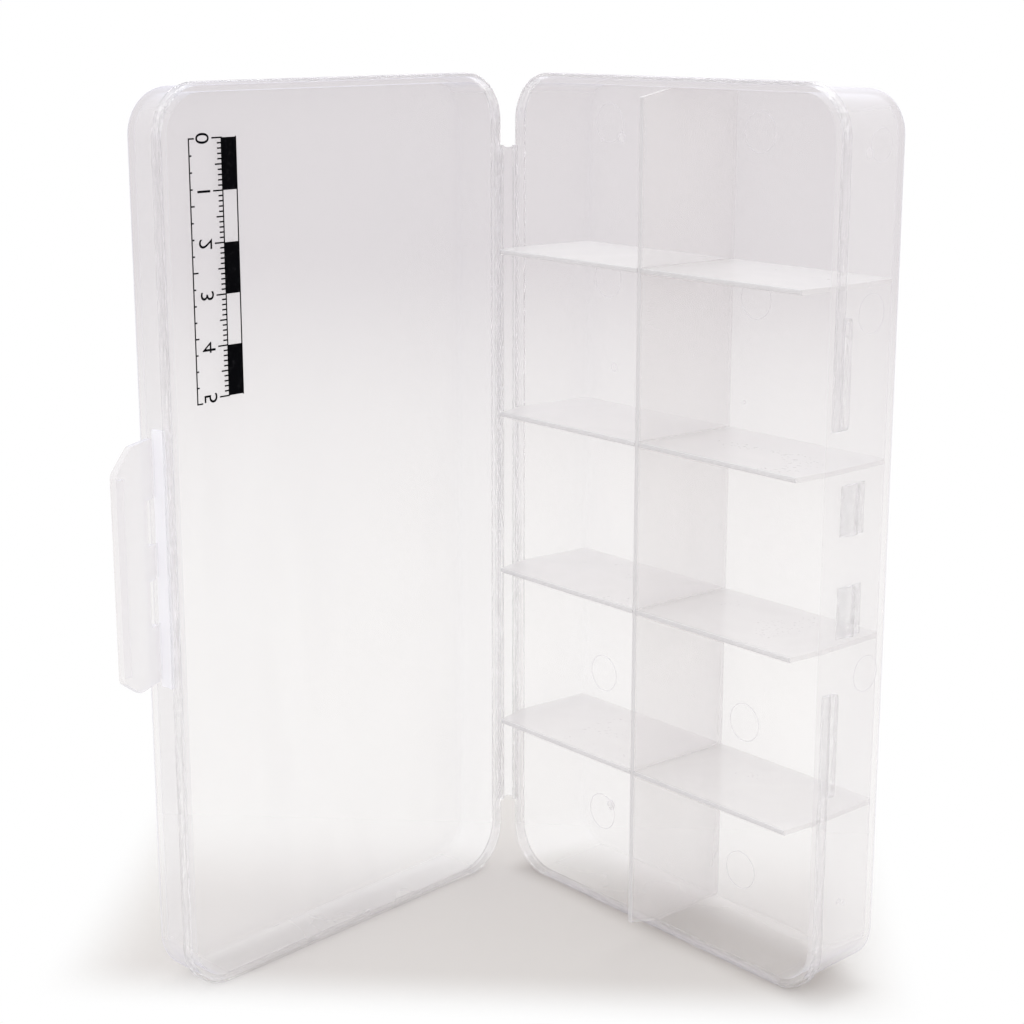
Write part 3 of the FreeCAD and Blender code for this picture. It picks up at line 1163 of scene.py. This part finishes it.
    def _numbers(self, ink: bpy.types.Material) -> bpy.types.Object:
        """Make the numbers at the metric scale's long ticks as one mesh.

        Args:
            ink: Material of the numbers.

        Returns:
            The new piece.
        """
        build = bmesh.new()
        graph = bpy.context.evaluated_depsgraph_get()
        stretch = self.metric.long_every * self.metric.division
        for number in range((self.metric.count - 1) // self.metric.long_every + 1):
            curve = bpy.data.curves.new("number", "FONT")
            curve.body = str(number)
            curve.size = self.digit_high / self.cap_share
            curve.extrude = self.film / 2
            curve.align_x = "CENTER"
            text = new_object("number", curve)
            graph.update()
            mesh = bpy.data.meshes.new_from_object(text.evaluated_get(graph))
            mesh.transform(Matrix.Translation((number * stretch, self.digit_foot, 0.0)))
            build.from_mesh(mesh)
            bpy.data.objects.remove(text)
        bmesh.ops.remove_doubles(build, verts=build.verts, dist=self.weld)
        bmesh.ops.recalc_face_normals(build, faces=build.faces)
        mesh = bpy.data.meshes.new("rule_numbers")
        build.to_mesh(mesh)
        build.free()
        mesh.transform(self._place())
        numbers = new_object("rule_numbers", mesh)
        dress(numbers, ink)
        return numbers

    def build(self, ink: bpy.types.Material) -> None:
        """Print the rule on the lid.

        Args:
            ink: Material of its lines and numbers.
        """
        source = point_mesh("rule_start", [Vector((0.0, 0.0, 0.0))])
        lines = self._tree().run("rule_lines", source, ink, self._place())
        for piece in (lines, self._numbers(ink)):
            settle(piece, Body.LID)


@dataclass
class Studio:
    """Pale floor, soft light and the camera."""

    bounces: int = 12
    layers: int = 128
    floor_half: float = 30.0
    floor_colour: Colour = (0.735, 0.71, 0.685)
    floor_roughness: float = 0.9
    # The backdrop as it is seen through the plastic, by distance from the box: painted light that dims further out
    backdrop_near: Colour = (1.0, 0.99, 0.975)
    backdrop_far: Colour = (0.70, 0.665, 0.685)
    dim_reach: Span = (0.05, 1.35)
    # The floor's fade into the backdrop, all round, in front and at both sides
    white_reach: Span = (0.12, 0.30)
    front_reach: Span = (0.024, 0.046)
    side_centre: float = -0.036
    side_reach: Span = (0.066, 0.090)
    # Painted light: where the floor behind the box is bright and shows no shadow, as seen through the plastic
    lit_reach: Span = (0.0, 0.055)
    # The line of sight along the floor, and the direction across it
    away: tuple[float, float, float] = (-0.716, 0.698, 0.0)
    sideways: tuple[float, float, float] = (0.698, 0.716, 0.0)
    # Painted shadow on the floor under the base's end
    contact_colour: Colour = (0.62, 0.59, 0.565)
    contact_low: Span = (-0.044, -0.0035)
    contact_high: Span = (0.049, 0.013)
    contact_blur: float = 0.0035
    # The dome's light at the horizon and above it
    dome_low: Colour = (0.76, 0.74, 0.82)
    dome_high: Colour = (1.04, 1.04, 1.05)
    dome_rise: Span = (0.03, 0.16)
    lamp_place: tuple[float, float, float] = (-0.6, 0.9, 1.0)
    lamp_aim: tuple[float, float, float] = (0.0, 0.0, 0.06)
    lamp_size: float = 1.0
    lamp_power: float = 3.0
    camera_place: tuple[float, float, float] = (0.2951, -0.2880, 0.1905)
    camera_heading: float = 49.99
    camera_dip: float = 13.59
    camera_clip: Span = (0.01, 20.0)
    focal_pixels: float = 2074.0
    frame_pixels: float = 1024.0
    sensor: float = 36.0

    def build(self) -> None:
        """Set up the whole studio."""
        scene = bpy.context.scene
        scene.view_settings.view_transform = "Standard"
        light = scene.cycles
        light.max_bounces = self.bounces
        light.glossy_bounces = self.bounces
        light.diffuse_bounces = self.bounces
        light.transparent_max_bounces = self.layers
        self._floor()
        self._world()
        self._lights()
        self._camera()

    def _floor(self) -> None:
        """Plain pale floor, white to the camera where the box throws no shadow."""
        half = self.floor_half
        corners = [(-half, -half, 0.0), (half, -half, 0.0), (half, half, 0.0), (-half, half, 0.0)]
        mesh = bpy.data.meshes.new("studio_floor")
        mesh.from_pydata(corners, [], [(0, 1, 2, 3)])
        floor = new_object("studio_floor", mesh)
        dress(floor, self._floor_finish())

    def _floor_finish(self) -> bpy.types.Material:
        """Matt floor that takes the shadow, and turns into the pale backdrop further out.

        The backdrop is white to the camera. Seen through the plastic it dims with distance, as painted light.

        Returns:
            The floor's material.
        """
        material = bpy.data.materials.new("pale_floor")
        shader = Shader(material)
        place = shader.object_coordinates()
        reach = shader.measure("LENGTH", place)
        path = shader.node("ShaderNodeLightPath")
        straight, glossy, through = (
            Signal(shader, path.outputs[f"Is {kind} Ray"])
            for kind in ("Camera", "Glossy", "Transmission")
        )
        bare = shader.bare(path)
        dim = shader.mix_colour(
            reach.smooth(*self.dim_reach), self.backdrop_near, self.backdrop_far
        )
        backdrop = shader.node(
            "ShaderNodeEmission",
            inputs={"Color": shader.mix_colour(bare, dim, WHITE), "Strength": 1.0},
        )
        # Painted shadow: the floor's colour turns darker close under the base's end
        shadow_mask = self._contact(shader, place)
        tone = shader.mix_colour(shadow_mask, self.floor_colour, self.contact_colour)
        matt = shader.node(
            "ShaderNodeBsdfPrincipled",
            inputs={
                "Base Color": tone,
                "Roughness": self.floor_roughness,
                "Specular IOR Level": 0.0,
            },
        )
        # The floor keeps its shadow inside these fades
        behind = shader.measure("DOT_PRODUCT", place, self.away)
        front = (0 - behind).smooth(*self.front_reach)
        aside = shader.measure("DOT_PRODUCT", place, self.sideways) - self.side_centre
        side = (aside * aside).smooth(*(limit**2 for limit in self.side_reach))
        edge = 1 - (1 - front) * (1 - side) * (1 - reach.smooth(*self.white_reach))
        # Painted light: seen through the plastic, the floor behind the box is drawn as the bright backdrop
        painted_light = (1 - bare) * behind.smooth(*self.lit_reach)
        share = straight * (edge + (1 - edge) * painted_light) + (glossy + through) * edge
        mixed = shader.node(
            "ShaderNodeMixShader",
            inputs={0: share, 1: matt.outputs["BSDF"], 2: backdrop.outputs["Emission"]},
        )
        shader.close("ShaderNodeOutputMaterial", mixed.outputs["Shader"])
        return material

    def _contact(self, shader: Shader, place: bpy.types.NodeSocket) -> Signal:
        """Mask the floor close under the base's end, for the painted shadow there.

        Args:
            shader: The floor's shader.
            place: Coordinates of the floor.

        Returns:
            1 under the end, and 0 away from it.
        """
        masks = []
        for axis, low, high in zip("XY", self.contact_low, self.contact_high):
            along = shader.axis(axis, place)
            enter = along.smooth(low - self.contact_blur, low + self.contact_blur)
            leave = along.smooth(high - self.contact_blur, high + self.contact_blur)
            masks.append(enter * (1 - leave))
        return masks[0] * masks[1]

    def _world(self) -> None:
        """White to the camera, and a soft grey dome as light."""
        world = bpy.data.worlds.new("studio")
        bpy.context.scene.world = world
        shader = Shader(world)
        direction = shader.node("ShaderNodeTexCoord").outputs["Generated"]
        rise = shader.axis("Z", direction).smooth(*self.dome_rise)
        dome = shader.mix_colour(rise, self.dome_low, self.dome_high)
        path = shader.node("ShaderNodeLightPath")
        straight = Signal(shader, path.outputs["Is Camera Ray"])
        colour = shader.mix_colour(straight * shader.bare(path), dome, WHITE)
        light = shader.node("ShaderNodeBackground", inputs={"Color": colour, "Strength": 1.0})
        shader.close("ShaderNodeOutputWorld", light.outputs[0])

    def _lights(self) -> None:
        """One large soft lamp above and behind the box."""
        lamp = bpy.data.lights.new("overhead", "AREA")
        lamp.shape = "SQUARE"
        lamp.size = self.lamp_size
        lamp.energy = self.lamp_power
        holder = new_object("overhead", lamp)
        holder.location = self.lamp_place
        aim = Vector(self.lamp_aim) - holder.location
        holder.rotation_euler = aim.to_track_quat("-Z", "Y").to_euler()

    def _camera(self) -> None:
        """Camera at the photograph's viewing angle."""
        data = bpy.data.cameras.new("camera")
        data.sensor_width = self.sensor
        data.lens = self.sensor * self.focal_pixels / self.frame_pixels
        data.clip_start, data.clip_end = self.camera_clip
        camera = new_object("camera", data)
        camera.location = self.camera_place
        tilt = math.pi / 2 - math.radians(self.camera_dip)
        camera.rotation_euler = (tilt, 0.0, math.radians(self.camera_heading))
        bpy.context.scene.camera = camera


def slot_finishes() -> dict[Slot, bpy.types.Material]:
    """Make the plastics of the record's slots.

    Returns:
        The material of each slot.
    """
    return {
        Slot.BASE: MilkyPlastic("clear_base", edge=foot_shade((0.75, 0.725, 0.705))).build(),
        Slot.DIVIDER: MilkyPlastic(
            "clear_divider",
            tint=(0.885, 0.862, 0.857),
            shade=(0.865, 0.842, 0.837),
            sheen_tint=(0.83, 0.81, 0.81),
            haze=0.24,
            edge=divider_edge(),
        ).build(),
        Slot.LID: MilkyPlastic(
            "clear_lid",
            tint=(0.955, 0.941, 0.953),
            shade=(0.940, 0.926, 0.940),
            sheen_tint=(0.84, 0.84, 0.95),
            edge=foot_shade((0.84, 0.82, 0.82)),
        ).build(),
        Slot.LATCH: MilkyPlastic("clear_latch", haze=0.28).build(),
        Slot.WEB: MilkyPlastic("clear_web").build(),
    }


def bead_finish() -> bpy.types.Material:
    """Plastic of the beads along the mouths, which bends the light.

    Returns:
        The finished material.
    """
    bead = MilkyPlastic(
        "clear_bead",
        tint=(0.985, 0.978, 0.985),
        shade=(0.975, 0.966, 0.975),
        haze=0.36,
        clarity=0.85,
        gloss=0.12,
        frost=0.0,
        ripple=0.0,
    )
    return bead.build()


def seat_finish() -> bpy.types.Material:
    """Plastic of the latch's seat, whiter and with a painted glow, in place of the bright highlights along it.

    Returns:
        The finished material.
    """
    seat = MilkyPlastic(
        "clear_seat",
        tint=(0.975, 0.975, 1.0),
        shade=(0.960, 0.960, 0.985),
        sheen_tint=(0.94, 0.94, 1.0),
        haze=0.62,
        sheen=0.30,
        gloss=0.12,
        frost=0.0,
        glow=0.085,
    )
    return seat.build()


def main() -> None:
    """Dress the box and stand it in its studio."""
    logging.basicConfig(level=logging.INFO, format="%(message)s")
    finishes = slot_finishes()
    PackedPieces(finishes, bead_finish(), seat_finish()).dress_all()
    Hinges().build(finishes[Slot.WEB])
    WitnessMarks().build(finishes[Slot.BASE])
    PrintedRule().build(PrintInk().build())
    Studio().build()


if __name__ == "__main__":
    main()
